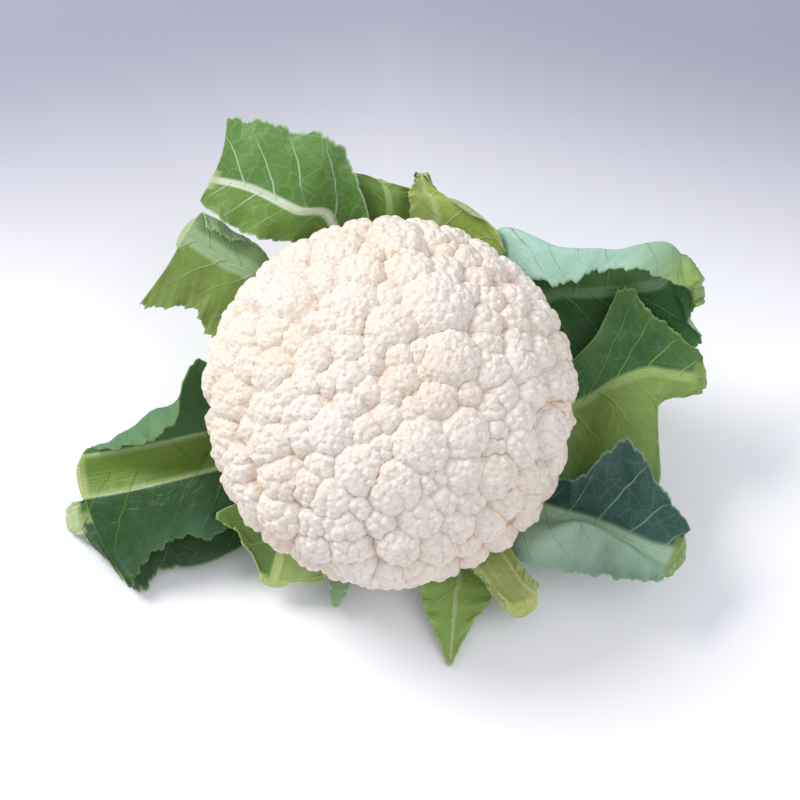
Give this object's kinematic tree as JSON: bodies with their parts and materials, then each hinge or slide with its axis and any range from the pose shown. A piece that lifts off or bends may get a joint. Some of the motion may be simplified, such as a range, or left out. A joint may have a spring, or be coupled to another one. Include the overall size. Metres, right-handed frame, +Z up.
{
  "type": "cauliflower",
  "caption": "Whole cauliflower head standing on its cut stem: a domed curd of florets in a ring of trimmed wrapper leaves.",
  "frame": {"origin": "middle of the flat cut face of the stem, which stands on the table", "axes": "+Z up, -Y toward the viewer of the picture (the head leans that way), +X to the viewer's right"},
  "size_m": [0.2849, 0.2191, 0.1292],
  "materials": {
    "curd": "matt cream-white flower buds, brownish pink in the crevices",
    "stem": "pale green stalk with a cream cut face",
    "leaf_green": "satin green leaf, pale ribs, grey-green wax on the underside",
    "leaf_light": "satin yellow-green leaf, pale ribs",
    "leaf_blue": "satin blue-green leaf with a waxy bloom"
  },
  "bodies": {
    "root": {"stem": "stem", "curd": "curd", "leaf_top_left": "leaf_green", "leaf_left_upper": "leaf_light", "leaf_left": "leaf_green", "leaf_left_under": "leaf_green", "leaf_lower_left": "leaf_light", "leaf_front_small": "leaf_blue", "leaf_front": "leaf_green", "leaf_front_right": "leaf_light", "leaf_right_lower": "leaf_blue", "leaf_right": "leaf_light", "leaf_top_right": "leaf_blue", "leaf_back": "leaf_green", "leaf_back_right": "leaf_light"}
  },
  "joints": []
}
